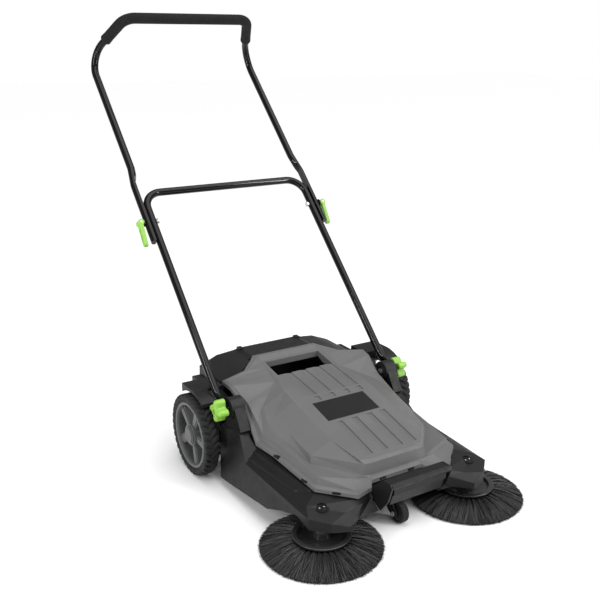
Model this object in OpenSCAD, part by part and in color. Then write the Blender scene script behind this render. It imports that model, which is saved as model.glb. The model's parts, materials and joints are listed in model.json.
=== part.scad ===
// Walk-behind sweeper with two side brushes, a main roller and a folding handle.
// Millimetres. Z is up, the machine travels towards -Y, the floor is z = 0 and
// the origin is under the middle of its bounding box.
// Left and right are the operator's, so left is +X and right is -X.

/* [Wheels] */
// Radius of the two drive wheels
wheel_r = 100; // [92:1:104]
// Width of a tyre
tyre_w = 35; // [28:1:35]
// Distance between the outer faces of the two tyres
track_w = 600; // [596:1:612]

/* [Brushes] */
// Outer radius of a side brush at the floor
brush_r = 132; // [110:1:134]
// Half the distance between the two side brush spindles
brush_x = 198; // [196:0.5:199]
// Radius of the main roller over its bristles
roller_r = 65; // [58:1:65]
// Number of bristle strips on the main roller
roller_strips = 8; // [6:1:10]

/* [Handle] */
// Outer diameter of the handle tubes
tube_d = 20; // [18:0.5:20]
// Wall of the handle tubes
tube_wall = 1.5; // [1.2:0.1:2]
// Diameter of the foam grip
grip_d = 29; // [26:0.5:32]
// Radius of the star knobs over their lobes
knob_r = 27; // [20:0.5:28]

/* [Housing] */
// Wall of the moulded covers
wall = 3; // [2.5:0.5:3.5]
// Depth of the hand recess in the cover
recess_depth = 46; // [30:1:48]

/* [Hidden] */
$fn = 64;

axle_y = -69;
axle_z = wheel_r;
wheel_out = track_w / 2;
wheel_in = wheel_out - tyre_w;
rim_r = wheel_r - 19;
axle_d = 12;

brush_y = -501;
ring_r = 62;
ring_z = 34;

roller_y = -150;
roller_z = roller_r + 1;
bay_x = 206;           // inner face of the two side walls
bay_t = 4;

pivot_y = -160;        // hinge of the lower handle
pivot_z = 191;
leg_z0 = 321;          // the legs lie on z = y + leg_z0
clamp_y = 240;         // clamp bolts between lower and upper handle
clamp_z = clamp_y + leg_z0;
clamp_x = 274;         // cam pin
cam_tilt = 33.5;       // angle of a closed cam lever from the vertical

castor_y = -480;       // castor swivel
castor_r = 24;
castor_trail = 28;

green = [0.50, 0.78, 0.25];
black = [0.12, 0.12, 0.12];
tube_black = [0.05, 0.05, 0.05];
lid_grey = [0.42, 0.42, 0.42];
rim_grey = [0.36, 0.37, 0.38];
rubber = [0.08, 0.08, 0.08];
steel = [0.70, 0.70, 0.72];

// ---------- helpers ----------

function unit(v) = v / norm(v);
function flip_x(p) = [-p[0], p[1], p[2]];
function reversed(list) = [for (i = [len(list) - 1 : -1 : 0]) list[i]];

// Children on the +X side for s = 1, mirrored to the -X side for s = -1
module on_side(s) {
    if (s > 0) children();
    else mirror([1, 0, 0]) children();
}

// Round bar along X
module bar_x(x0, x1, y, z, d) {
    translate([x0, y, z]) rotate([0, 90, 0]) cylinder(d = d, h = x1 - x0);
}

// A profile in (radius, x) turned about an axis along X
module turn_x(y, z) {
    translate([0, y, z]) rotate([0, 90, 0]) rotate_extrude() children();
}

// An outline in (y, z) extruded along X from x0 to x1
module plate_x(x0, x1) {
    translate([x0, 0, 0]) rotate([90, 0, 90]) linear_extrude(x1 - x0) children();
}

// Round rod between two points
module rod(a, b, d) {
    v = b - a;
    translate(a)
        rotate([0, acos(v[2] / norm(v)), atan2(v[1], v[0])])
        cylinder(d = d, h = norm(v));
}

// Quarter-bend piece between unit directions a and b about the corner v
module elbow(v, a, b, r, d) {
    turn = acos(a * b);
    w = unit(cross(a, b));
    c = v + unit(b - a) * r / cos(turn / 2);
    e1 = unit(v - a * r * tan(turn / 2) - c);
    e2 = cross(w, e1);
    multmatrix([
        [e1[0], e2[0], w[0], c[0]],
        [e1[1], e2[1], w[1], c[1]],
        [e1[2], e2[2], w[2], c[2]]
    ])
        rotate_extrude(angle = turn) translate([r, 0]) circle(d = d);
}

// Tube centre line through pts, with bend radius radii[i] at the inner points.
// The bends are a hair thicker and the straights run a little way into them.
swell = 0.1;
lap = 0.5;
module pipe(pts, radii, d) {
    n = len(pts);
    dirs = [for (i = [0 : n - 2]) unit(pts[i + 1] - pts[i])];
    cut = [for (i = [0 : n - 1])
        (i == 0 || i == n - 1) ? 0 : radii[i - 1] * tan(acos(dirs[i - 1] * dirs[i]) / 2)];
    for (i = [0 : n - 2])
        rod(
            pts[i] + dirs[i] * (i == 0 ? 0 : cut[i] - lap),
            pts[i + 1] - dirs[i] * (i == n - 2 ? 0 : cut[i + 1] - lap), d
        );
    for (i = [1 : n - 2])
        elbow(pts[i], dirs[i - 1], dirs[i], radii[i - 1], d + swell);
}

// Closed loft through rings of equal length. Each ring runs over the +X half
// from the front middle to the rear and is completed by its mirror image.
// The outline steps forward between points 0 and 3, so the lower cap closes
// that stretch on each side first.
function full_ring(half) = concat(half, [for (p = reversed(half)) flip_x(p)]);
function strips(t, m, i0) = [for (i = [i0 : m / 2 - 2])
    each [[t + i, t + i + 1, t + m - 1 - i], [t + i + 1, t + m - 2 - i, t + m - 1 - i]]];

module strip_loft(rings) {
    full = [for (r = rings) full_ring(r)];
    m = len(full[0]);
    n = len(full);
    pts = [for (r = full) for (p = r) p];
    sides = [for (k = [0 : n - 2]) for (i = [0 : m - 1])
        let (a = k * m + i, b = k * m + (i + 1) % m)
        each [[a, a + m, b], [b, a + m, b + m]]];
    corner = [[0, 1, 2], [0, 2, 3], [m - 1, m - 3, m - 2], [m - 1, m - 4, m - 3],
        [0, 3, m - 1], [3, m - 4, m - 1]];
    top = [for (f = strips((n - 1) * m, m, 0)) reversed(f)];
    polyhedron(points = pts, faces = concat(sides, corner, strips(0, m, 3), top));
}

// Sheet of triangles, counter-clockwise from outside, given a wall: every
// vertex has its own inward offset
module skin(pts, offs, tris) {
    n = len(pts);
    edges = [for (f = tris) each [[f[0], f[1]], [f[1], f[2]], [f[2], f[0]]]];
    rim = [for (e = edges) if (len([for (g = edges) if (g[0] == e[1] && g[1] == e[0]) 1]) == 0) e];
    polyhedron(
        points = concat(pts, [for (i = [0 : n - 1]) pts[i] + offs[i]]),
        faces = concat(
            [for (f = tris) reversed(f)],
            [for (f = tris) [f[0] + n, f[1] + n, f[2] + n]],
            [for (e = rim) each [[e[0], e[1], e[0] + n], [e[1], e[1] + n, e[0] + n]]]
        )
    );
}

// ---------- cover ----------

// Half outlines of the cover from the front middle to the rear corner.
lip_low = [
    [67, -496, 107], [79, -510, 99], [123, -525, 101], [190, -461, 106],
    [202, -306, 122], [211, -244, 125], [207, -222, 138], [197, -160, 178],
    [205, -108, 209], [209, -73, 214], [142, -58, 221], [102, -22, 232], [91, -9, 235]
];
lip_top = [for (p = lip_low) [p[0] - 0.5, p[1] + (p[1] < -300 ? 1 : 0), p[2] + 8]];
step_foot = [
    [64, -491, 118], [74, -499, 110], [119, -510, 111], [180, -455, 117],
    [192, -306, 132], [201, -248, 135], [198, -226, 148], [192, -163, 188],
    [200, -111, 219], [204, -79, 223], [139, -64, 230], [98, -30, 241], [88, -17, 244]
];
step_top = [
    [64, -489, 121], [72, -492, 119], [110, -482, 124], [175, -451, 132],
    [187, -304, 147], [196, -250, 152], [193, -226, 164], [188, -164, 194],
    [197, -112, 221], [201, -81, 224.5], [137, -67, 232], [96, -34, 242], [87, -20, 245]
];
panel_foot = [
    [63, -488, 123], [71, -488, 123], [84, -486, 127], [160, -396, 134],
    [176, -302, 156], [180, -250, 168], [174, -206, 180], [129, -167, 202],
    [96, -134, 217], [93, -110, 222.5], [92, -74, 231], [91, -46, 237.5], [88, -26, 244]
];
panel_edge = [
    [61, -482, 147], [69, -482, 147.5], [79, -482, 148], [155, -389, 149],
    [158, -302, 167], [161, -240, 180], [163, -194, 190], [122, -160, 208.5],
    [88, -129, 222], [88, -108, 226], [88, -72, 232], [88, -44, 238], [86, -26, 245.5]
];
panel_inner = [
    [58, -476, 153.2], [62, -475, 153.4], [84, -470, 154.6], [104, -392, 172.9],
    [106, -302, 194], [107, -238, 209.1], [104, -192, 215.5], [96, -156, 219.5],
    [84, -126, 223.5], [84, -108, 227], [84, -72, 233.5], [84, -44, 239], [83, -28, 246]
];

// Inward direction at each point of those outlines
inset_dirs = [
    [0.3, 1.3], [1, 1], [0, 1.3], [-1, 0.7], [-1, 0.2], [-1, 0], [-1, 0],
    [-1, 0], [-1, -0.3], [-1, -1], [-0.4, -1], [-0.7, -1], [-0.5, -1]
];
function inner_ring(ring, dz) = [for (i = [0 : len(ring) - 1])
    [ring[i][0] + inset_dirs[i][0] * wall, ring[i][1] + inset_dirs[i][1] * wall, ring[i][2] - dz]];

// Flat of the raised panel under the name plate
plate_y0 = -332;
plate_z0 = 187;
plate_slope = atan(0.235);
plate_len = 70;
plate_w = 142;

recess_x = 79;
recess_y0 = -118;
recess_y1 = -53;
recess_top = 236;

// Clip slots in the lip: centre and direction of the lip there
clip_places = [
    [202, -320, 127, 86], [194, -424, 115, 85], [157, -493, 108, 44], [38, -496, 111, 0]
];

// Places a child on the lip at clip i
module at_clip(i) {
    c = clip_places[i];
    translate([c[0], c[1], c[2]]) rotate([0, 0, c[3]]) children();
}

// Long saw-tooth groove along a sloping flat that starts at [y, z]: a gentle
// fall towards x and a steep rise beyond it
groove_w = 17;
groove_rise = 0.9;
groove_deep = 2.4;
groove_pitch = 41;
module groove(x, y, z, slope, length) {
    translate([x, y, z])
        rotate([slope, 0, 0])
        rotate([-90, 0, 0])
        linear_extrude(length)
        polygon([
            [-groove_w, -3], [-groove_w, -0.1], [0, groove_deep],
            [groove_rise, -0.1], [groove_rise, -3]
        ]);
}

module cover_grooves() {
    for (i = [-1 : 2]) {
        x = min(i * groove_pitch, recess_x - groove_rise);
        groove(x, -462, 156.4, plate_slope, 124);
        groove(x, -258, 204.4, plate_slope, 17);
        groove(x, -234, 209.63, 7.6, 126);
    }
}

module cover_outside() {
    strip_loft([lip_low, lip_top, step_foot, step_top, panel_foot, panel_edge, panel_inner]);
}

module cover_inside() {
    strip_loft([
        inner_ring(lip_low, 8), inner_ring(lip_top, 1), inner_ring(step_foot, wall),
        inner_ring(step_top, wall), inner_ring(panel_foot, wall),
        inner_ring(panel_edge, wall), inner_ring(panel_inner, wall)
    ]);
}

// Block of the hand recess, grown by t
module recess_block(t, height) {
    translate([-recess_x - t, recess_y0 - t, recess_top - recess_depth - t])
        cube([2 * (recess_x + t), recess_y1 - recess_y0 + 2 * t, height]);
}

module top_cover() {
    color(lid_grey)
    difference() {
        union() {
            difference() {
                cover_outside();
                cover_inside();
            }
            intersection() {
                cover_outside();
                recess_block(wall, 80);
            }
        }
        recess_block(0, 80);
        // seat of the name plate
        translate([0, plate_y0, plate_z0])
            rotate([plate_slope, 0, 0])
            translate([-plate_w / 2 - 0.5, -0.5, -0.8])
            cube([plate_w + 1, plate_len + 1, 6]);
        cover_grooves();
        for (s = [-1, 1]) on_side(s)
            for (i = [0 : 3])
                at_clip(i) translate([-9, -8, -2.5]) cube([18, 16, 5]);
    }
}

module cover_clips() {
    color(black)
    for (s = [-1, 1]) on_side(s)
        for (i = [0 : 3])
            at_clip(i) translate([-8, -1.2, -2]) cube([16, 5, 4]);
}

module name_plate() {
    color([0.10, 0.10, 0.11])
    translate([0, plate_y0, plate_z0])
        rotate([plate_slope, 0, 0])
        translate([-plate_w / 2, 0, -0.8])
        cube([plate_w, plate_len, 1.4]);
}

// ---------- base housing ----------

// Corners of the moulded skin of one side, [x, y, z], and their inward offsets
skin_pts = [
    [79, -506, 97], [121, -520, 98], [186, -457, 104], [205, -244, 121],        // 0-3 under the lip
    [202, -223, 133], [192, -160, 169.5], [198.5, -110, 200.5],                      // 4-6
    [233, -206, 147], [246, -259, 95], [241, -474, 87], [220, -430, 96],        // 7-10 side crease
    [226, -486, 95], [160, -532, 84],                                           // 11-12 deck top
    [240, -515, 86], [205, -547, 80], [167, -561, 69],                          // 13-15 deck crease
    [238, -516, 60], [204, -549, 60], [163, -565, 59], [128, -533, 58],         // 16-19 deck bottom
    [112, -526, 88], [80, -511, 84], [80, -538, 68],                            // 20-22 inner web
    [243, -474, 75], [250, -415, 58], [257, -376, 44], [262, -185, 22],         // 23-26 side bottom
    [262, -161, 21], [239, -121, 130], [215, -168, 196], [212, -121, 150]       // 27-30 wheel side
];
skin_offs = [
    [0, 2, -3], [0, 1, -3], [0, 0, -3], [-1, 0, -3],
    [0, 1.5, -2.5], [1.5, 2, -2], [-2, 0.5, -4],
    [-2.5, 3, -2], [-3, 0, -2], [-3, 0, -3], [0, 0, -3],
    [-1, 1, -3], [0, 2, -3],
    [-3, 3, -1], [-2, 3, -1], [0, 3, -1],
    [-3, 2, 0], [-2, 3, 0], [0, 3, 0], [3, 2, 0],
    [1, 3, -1.5], [0.5, 3, -2], [-0.5, 1.5, -2.5],
    [-3, 0, 0], [-3, 0, 0], [-3, 0, 0], [-3, 0, 0],
    [-3, 0, 0], [-2.5, 0, -2], [-2, 2, -4], [-2.5, -0.5, -1.5]
];
skin_tris = [
    [1, 12, 11], [1, 11, 2], [2, 11, 10],
    [12, 15, 14], [12, 14, 11], [11, 14, 13], [11, 13, 9], [11, 9, 10],
    [1, 20, 12], [20, 15, 12], [20, 19, 15], [19, 18, 15],
    [15, 18, 17], [15, 17, 14], [14, 17, 16], [14, 16, 13],
    [13, 16, 23], [13, 23, 9],
    [8, 9, 23], [8, 23, 24], [8, 24, 25], [8, 25, 26], [8, 26, 27], [8, 27, 28], [8, 28, 7],
    [10, 9, 8], [10, 8, 3], [10, 3, 2],
    [3, 8, 7], [3, 7, 4], [4, 7, 5], [5, 7, 29], [5, 29, 6],
    [7, 28, 30], [7, 30, 29], [29, 30, 6],
    [0, 21, 20], [0, 20, 1], [21, 22, 19], [21, 19, 20]
];

boss_out = 237.5;
boss_d = 50;
blade_x = 241;         // middle of the flattened handle ends
blade_t = 6;
bolt_d = 8;
fit = 0.1;             // diametral clearance of pins and bolts

floor_z = 84;          // underside of the front floor
front_wall_y = -238;
hood_z = 140;
shoulder_z = 193;
rear_y = 60;

fender_out = 288;
fender_top = 214;
fender_in = 253;
arch_r = wheel_r + 7;
fender_r = arch_r + 7.4;
rib_d = 11;
belt_slot = 12;        // height and width of the slots that the brush belts run through

module deck_boss() {
    difference() {
        translate([brush_x, brush_y, 80]) cylinder(d = 30, h = 12);
        translate([brush_x, brush_y, 79]) cylinder(d = 22, h = 9);
        translate([brush_x, brush_y, 87]) cylinder(d = 18, h = 12);
    }
}

// Head of the arm that carries the handle hinge, with the arm below it
module pivot_boss() {
    bar_x(205, boss_out, pivot_y, pivot_z, boss_d);
    plate_x(208, 233)
        polygon([[-181, 202], [-214, 150], [-206, 140], [-180, 138], [-140, 138], [-140, 178]]);
}

// Rounded ribs along the sloping side, under the lip of the cover
module side_ribs() {
    for (line = [
        [[216, -252, 111.5], [192, -446, 100.5]],
        [[231, -257, 101], [213, -423, 95.5]]
    ]) {
        rod(line[0], line[1], rib_d);
        for (end = line) translate(end) sphere(d = rib_d + swell);
    }
}

// Mudguard: flat behind the axle, and following the wheel in front of it
module fender() {
    difference() {
        intersection() {
            union() {
                plate_x(fender_in - 2, fender_out)
                    polygon([[-14, 185], [-14, fender_top], [-127, fender_top], [-127, 180]]);
                plate_x(bay_x + 5, fender_in)
                    polygon([[-14, 185], [-14, fender_top], [-80, fender_top], [-80, 180]]);
            }
            union() {
                bar_x(200, 300, axle_y, axle_z, 2 * fender_r);
                translate([200, axle_y, 170]) cube([100, 60, 60]);
            }
        }
        bar_x(200, 300, axle_y, axle_z, 2 * arch_r);
    }
}

module side_walls() {
    difference() {
        union() {
            plate_x(bay_x, bay_x + bay_t)
                polygon([
                    [-236, 28], [-236, 120], [-166, 167], [-110, 185], [-14, shoulder_z],
                    [rear_y, shoulder_z], [rear_y, 30], [-40, 24]
                ]);
            bar_x(bay_x, bay_x + 9, axle_y, axle_z, 30);
        }
        bar_x(200, 215, roller_y, roller_z, 24);
        bar_x(200, 215, axle_y, axle_z, axle_d + fit);
    }
    // rear cheek and the shoulder over it
    plate_x(224, 228)
        polygon([[-24, 60], [-24, shoulder_z], [rear_y, shoulder_z], [rear_y, 40], [0, 40]]);
    plate_x(200, 228)
        polygon([
            [-112, 181], [-112, 185], [-14, shoulder_z], [rear_y, shoulder_z],
            [rear_y, shoulder_z - 4], [-14, shoulder_z - 4]
        ]);
    translate([bay_x + 1, rear_y - 4, 40]) cube([20, 4, 152]);
}

// Front floor, roller chamber and the cross rail of the dust strip
module chambers() {
    translate([-bay_x - 1, -470, floor_z]) cube([2 * bay_x + 2, 236, 4]);
    translate([-100, -509, floor_z]) cube([200, 42, 4]);
    translate([-bay_x - 1, front_wall_y, 28]) cube([2 * bay_x + 2, 4, hood_z - 25]);
    translate([-bay_x - 1, front_wall_y, hood_z]) cube([2 * bay_x + 2, -58 - front_wall_y, 3]);
    translate([-bay_x - 1, -61, 118]) cube([2 * bay_x + 2, 3, hood_z - 116]);
    translate([-bay_x - 1, -31, 36]) cube([2 * bay_x + 2, 5, 7]);
}

// Holes of the spindle, the pivot bolt and the brush belt, and the room of the cover
module housing_cuts() {
    translate([brush_x, brush_y, 50]) cylinder(d = 22, h = 60);
    bar_x(190, 260, pivot_y, pivot_z, bolt_d + fit);
    bar_x(190, 205, pivot_y, pivot_z, 15);
    translate([bay_x - 5, -244, 75 - belt_slot / 2]) cube([14, 76, belt_slot]);
    translate([192, -241, 122]) cube([20, 29, 24]);
}

module base_housing() {
    color(black)
    union() {
        difference() {
            union() {
                for (s = [-1, 1]) on_side(s) {
                    skin(skin_pts, skin_offs, skin_tris);
                    side_walls();
                    fender();
                    pivot_boss();
                    side_ribs();
                }
                chambers();
            }
            for (s = [-1, 1]) on_side(s) housing_cuts();
        }
        for (s = [-1, 1]) on_side(s) deck_boss();
    }
}
// Handle across the nose, with its two end brackets
module front_carry_bar() {
    color(black) {
        plate_x(-77, 77)
            polygon([
                [-573, 144], [-579, 141], [-581, 137], [-579, 133], [-575, 131],
                [-550, 131], [-547, 134], [-548, 142]
            ]);
        plate_x(-69, 69)
            polygon([
                [-575, 132], [-573, 116], [-569, 113], [-560, 88], [-550, 86],
                [-547, 90], [-556, 118], [-558, 132]
            ]);
        for (s = [-1, 1]) on_side(s) {
            plate_x(76, 80)
                polygon([
                    [-514, 96], [-516, 116], [-550, 143], [-574, 144],
                    [-580, 137], [-568, 101], [-543, 69], [-514, 82]
                ]);
            translate([68, -562, 112]) cube([9, 6, 19.5]);
        }
    }
}

// ---------- hopper ----------

hopper_x = 196;
hopper_y0 = -22;
hopper_y1 = 84;
hopper_t = 3;

// Section across X: top line slopes down on both sides. t shrinks it.
module hopper_section(t) {
    polygon([
        [-hopper_x + t, 40 + t], [-hopper_x + t, 206 - t], [-146, 226 - t], [-98, 233 - t], [-86, 238 - t],
        [86, 238 - t], [98, 233 - t], [146, 226 - t], [hopper_x - t, 206 - t], [hopper_x - t, 40 + t]
    ]);
}

module along_y(y0, y1) {
    translate([0, y1, 0]) rotate([90, 0, 0]) linear_extrude(y1 - y0) children();
}

module hopper_side(t) {
    polygon([
        [hopper_y0 + t, 40], [hopper_y1 - 10, 40], [hopper_y1 + 2 - t, 60], [hopper_y1 - t, 226],
        [hopper_y1 - 12 - t, 240], [-4 + t, 240], [-4 + t, 150], [hopper_y0 + t, 130]
    ]);
}

module hopper_bin() {
    color(black)
    difference() {
        union() {
            difference() {
                intersection() {
                    plate_x(-hopper_x, hopper_x) hopper_side(0);
                    along_y(-60, 100) hopper_section(0);
                }
                intersection() {
                    plate_x(-hopper_x, hopper_x) hopper_side(hopper_t);
                    along_y(-60, 100) hopper_section(hopper_t);
                }
            }
            // shoulders beside the cover
            for (s = [-1, 1]) on_side(s)
                difference() {
                    intersection() {
                        translate([0, 0, 186]) linear_extrude(54)
                            polygon([[146, -54], [hopper_x, -54], [hopper_x, -1], [101, -1], [101, -12], [110, -22]]);
                        along_y(-60, 100) hopper_section(0);
                    }
                    translate([0, 0, 180]) linear_extrude(22)
                        polygon([[148, -51], [hopper_x - 3, -51], [hopper_x - 3, -4], [106, -4], [106, -13], [114, -21]]);
                }
            // nibs either side of the finger notch
            for (s = [-1, 1]) on_side(s)
                translate([80, 58, 234]) cube([12, 18, 7]);
            // block of the finger pocket
            translate([-73, hopper_y1 - 30, 182]) cube([146, 29, 44]);
        }
        // mouth behind the roller
        translate([-hopper_x + 8, hopper_y0 - 5, 46]) cube([2 * hopper_x - 16, 12, 62]);
        // finger pocket
        translate([-70, hopper_y1 - 27, 185]) cube([140, 50, 32]);
    }
}

module rear_dust_strip() {
    color(rubber)
    translate([-bay_x + 1, -34.2, 5]) cube([2 * bay_x - 2, 3, 36]);
}

// ---------- handle ----------

leg_x = blade_x;       // legs of the lower handle
bar_y = 303;
lower_bend_r = 48;
tube_y0 = -108;        // where the blade ends and the tube starts

upper_x = 246.8;
upper_low_x = 255;
bend_y = 644;
grip_y = 506;
grip_z = 1066;
grip_x = 186;

function leg_point(x, y) = [x, y, y + leg_z0];

lower_path = [
    leg_point(leg_x, tube_y0), leg_point(leg_x, bar_y),
    leg_point(-leg_x, bar_y), leg_point(-leg_x, tube_y0)
];
upper_half = [
    leg_point(upper_low_x, 196), leg_point(upper_low_x, 322), leg_point(upper_x, 362),
    [upper_x, bend_y, 961], [grip_x, grip_y, grip_z]
];
upper_path = full_ring(upper_half);
upper_radii = [60, 60, 60, 40, 40, 60, 60, 60];

// Flattened end of a leg with its bolt eye
module blade() {
    difference() {
        plate_x(blade_x - blade_t / 2, blade_x + blade_t / 2)
            union() {
                translate([pivot_y, pivot_z]) circle(d = 26);
                polygon([
                    [pivot_y - 4, pivot_z + 12.3], [pivot_y + 6, pivot_z - 11.4],
                    [-118, 190], [-88, 220], [-102, 234], [-132, 209]
                ]);
            }
        bar_x(blade_x - 10, blade_x + 10, pivot_y, pivot_z, bolt_d + fit);
    }
}

module lower_handle() {
    color(tube_black)
    difference() {
        union() {
            difference() {
                pipe(lower_path, [lower_bend_r, lower_bend_r], tube_d);
                pipe(lower_path, [lower_bend_r, lower_bend_r], tube_d - 2 * tube_wall);
            }
            for (s = [-1, 1]) on_side(s) blade();
        }
        for (s = [-1, 1]) on_side(s)
            bar_x(220, 262, clamp_y, clamp_z, bolt_d + fit);
    }
}

flat_x = 251.6;        // inner face of the flattened lower ends of the upper handle

// Half space on the inner side of the flattened ends
module flat_zone(x0, x1) {
    translate([x0, 0, 0])
        plate_x(0, x1 - x0)
        polygon([[170, 500], [180, 480], [352, 650], [332, 680]]);
}

module upper_handle() {
    color(tube_black)
    difference() {
        union() {
            difference() {
                pipe(upper_path, upper_radii, tube_d);
                pipe(upper_path, upper_radii, tube_d - 2 * tube_wall);
                for (s = [-1, 1]) on_side(s) flat_zone(240, flat_x);
            }
            for (s = [-1, 1]) on_side(s)
                plate_x(flat_x, flat_x + tube_wall)
                polygon([[190.5, 521.5], [201.5, 510.5], [336, 645], [325, 656]]);
        }
        for (s = [-1, 1]) on_side(s)
            bar_x(245, 270, clamp_y, clamp_z, bolt_d + fit);
    }
}

// Foam sleeve over the top bar and both corners
module foam_grip() {
    lean = unit([upper_x, bend_y, 961] - [grip_x, grip_y, grip_z]);
    ends = [grip_x, grip_y, grip_z] + lean * 100;
    path = full_ring([ends, [grip_x, grip_y, grip_z]]);
    long = full_ring([ends + lean, [grip_x, grip_y, grip_z]]);
    color(rubber)
    difference() {
        pipe(path, [40, 40], grip_d);
        pipe(long, [40, 40], tube_d + 0.2);
    }
}

module tube_end_plugs() {
    color(black)
    for (s = [-1, 1]) on_side(s)
        plate_x(flat_x + tube_wall + 0.3, upper_low_x + tube_d / 2 - tube_wall - 1.5)
        polygon([[191.5, 517.5], [196.5, 512.5], [201.5, 517.5], [196.5, 522.5]]);
}

module pivot_bolt() {
    color(steel) {
        bar_x(204, 272, pivot_y, pivot_z, bolt_d);
        bar_x(200, 204.8, pivot_y, pivot_z, 14);
    }
}

knob_in = 244.5;
knob_out = 275;
lobe_r = 8;

// turn is how far the knob happens to be turned
module star_knob(turn) {
    color(green)
    difference() {
        union() {
            bar_x(knob_in, knob_out, pivot_y, pivot_z, 28);
            for (a = [turn : 90 : turn + 270])
                translate([knob_in + 4, pivot_y, pivot_z]) rotate([a, 0, 0]) {
                    translate([0, -lobe_r, 0]) cube([knob_out - knob_in - 4, 2 * lobe_r, knob_r - lobe_r]);
                    translate([0, 0, knob_r - lobe_r])
                        rotate([0, 90, 0]) cylinder(r = lobe_r, h = knob_out - knob_in - 4);
                }
        }
        bar_x(240, 272.5, pivot_y, pivot_z, bolt_d + fit);
        bar_x(272, 280, pivot_y, pivot_z, 11);
    }
}

cam_x = clamp_x + 1.7;
cam_r = 8;
lever_len = 66;

// Local frame of a cam lever: pin along Y, lever hanging along -Z
module at_cam() {
    translate([cam_x, clamp_y, clamp_z]) rotate([-cam_tilt, 0, 0]) children();
}

module clamp_bolt() {
    color(steel) {
        difference() {
            union() {
                bar_x(229.8, cam_x, clamp_y, clamp_z, bolt_d);
                at_cam() rotate([90, 0, 0]) cylinder(r = 5, h = 8, center = true);
            }
            at_cam() rotate([90, 0, 0]) cylinder(d = 5 + fit, h = 20, center = true);
        }
        bar_x(225.5, 229.9, clamp_y, clamp_z, 14);
    }
}

module clamp_saddle() {
    color(black)
    difference() {
        bar_x(265.2, 267.4, clamp_y, clamp_z, 22);
        bar_x(260, 270, clamp_y, clamp_z, bolt_d + fit);
    }
}

module cam_lever() {
    color(green)
    at_cam()
    difference() {
        union() {
            rotate([90, 0, 0]) cylinder(r = cam_r, h = 21, center = true);
            // handle, narrowing to a round tip
            rotate([90, 0, 90])
                translate([0, 0, -4])
                linear_extrude(9)
                union() {
                    polygon([[-10.5, 0], [10.5, 0], [7.5, -lever_len + 7], [-7.5, -lever_len + 7]]);
                    translate([0, -lever_len + 7.5]) circle(r = 7.5);
                }
        }
        translate([-13, -4.4, -5.2]) cube([19, 8.8, 20]);
        rotate([90, 0, 0]) cylinder(d = 5, h = 30, center = true);
        // shallow finger dish on the outer face
        translate([4, -4, -54]) cube([3, 8, 36]);
    }
}

module cam_pin() {
    color(steel)
    at_cam() rotate([90, 0, 0]) cylinder(d = 5, h = 24, center = true);
}

// ---------- wheels ----------

module tyre() {
    w = tyre_w;
    color(rubber)
    turn_x(axle_y, axle_z)
        polygon([
            [-rim_r, wheel_in + 3], [-rim_r - 5, wheel_in], [-wheel_r + 8, wheel_in],
            [-wheel_r + 2, wheel_in + 3], [-wheel_r, wheel_in + 7], [-wheel_r, wheel_in + w - 7],
            [-wheel_r + 2, wheel_in + w - 3], [-wheel_r + 8, wheel_in + w],
            [-rim_r - 5, wheel_in + w], [-rim_r, wheel_in + w - 3]
        ]);
}

hub_r = 27;
hub_in = 241;
spoke_turn = 23;
spoke_face = wheel_out - 11;

// Spoke that widens towards the rim, from x0 to x1, its edges drawn in by t
module spoke(x0, x1, t) {
    plate_x(x0, x1)
        polygon([[-9.5 + t, 20], [9.5 - t, 20], [12.5 - t, rim_r - 6], [-12.5 + t, rim_r - 6]]);
}

module wheel_rim() {
    color(rim_grey)
    difference() {
        union() {
            turn_x(axle_y, axle_z)
                polygon([
                    [-rim_r, wheel_in + 3], [-rim_r, wheel_out - 3], [-rim_r + 2, wheel_out - 1],
                    [-rim_r + 7, wheel_out - 2], [-rim_r + 9, wheel_out - 8], [-rim_r + 6, wheel_in + 5]
                ]);
            bar_x(wheel_in, wheel_out - 5, axle_y, axle_z, 2 * hub_r);
            bar_x(hub_in, wheel_in + 1, axle_y, axle_z, 34);
            for (a = [spoke_turn : 72 : spoke_turn + 288])
                translate([0, axle_y, axle_z]) rotate([a, 0, 0]) {
                    spoke(wheel_in + 7, spoke_face, 0);
                    spoke(spoke_face - 1, spoke_face + 2, 4);
                }
        }
        bar_x(hub_in - 1, wheel_out, axle_y, axle_z, 16);
    }
}

module hub_cap() {
    color(rim_grey) {
        bar_x(wheel_out - 4.9, wheel_out - 1, axle_y, axle_z, 46);
        bar_x(wheel_out - 1.1, wheel_out + 1, axle_y, axle_z, 38);
    }
}

module wheel_bush() {
    color([0.75, 0.72, 0.6])
    difference() {
        bar_x(hub_in + 1, wheel_out - 9, axle_y, axle_z, 16);
        bar_x(hub_in, wheel_out, axle_y, axle_z, axle_d + fit);
    }
}

module wheel_axle() {
    color(steel) {
        bar_x(199, wheel_out - 8, axle_y, axle_z, axle_d);
        bar_x(199, 205.8, axle_y, axle_z, 20);
    }
}

belt_d = 5;
brush_groove_x = 222;
brush_drive_r = 24;
roller_groove_x = 232;
roller_drive_r = 34;
roller_driven_r = 14;
brush_driven_r = 14;
brush_belt_z = 73;

// Half section of a belt groove centred at x on pitch radius r, seen in (-r, x)
function groove_points(r, x, flange) = [
    [-flange, x - 5], [-flange, x - 4], [-r + 3, x - 3],
    [-r + 3, x + 3], [-flange, x + 4], [-flange, x + 5]
];

module drive_pulley(with_roller) {
    color([0.25, 0.25, 0.26])
    difference() {
        union() {
            turn_x(axle_y, axle_z)
                polygon(concat(
                    [[0, brush_groove_x - 5]],
                    groove_points(brush_drive_r, brush_groove_x, brush_drive_r + 3),
                    [[0, brush_groove_x + 5]]
                ));
            if (with_roller)
                turn_x(axle_y, axle_z)
                    polygon(concat(
                        [[0, roller_groove_x - 5]],
                        groove_points(roller_drive_r, roller_groove_x, roller_drive_r + 3),
                        [[0, roller_groove_x + 5]]
                    ));
            bar_x(226.9, hub_in - 0.2, axle_y, axle_z, 26);
        }
        bar_x(210, 250, axle_y, axle_z, axle_d + fit);
    }
}

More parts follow.
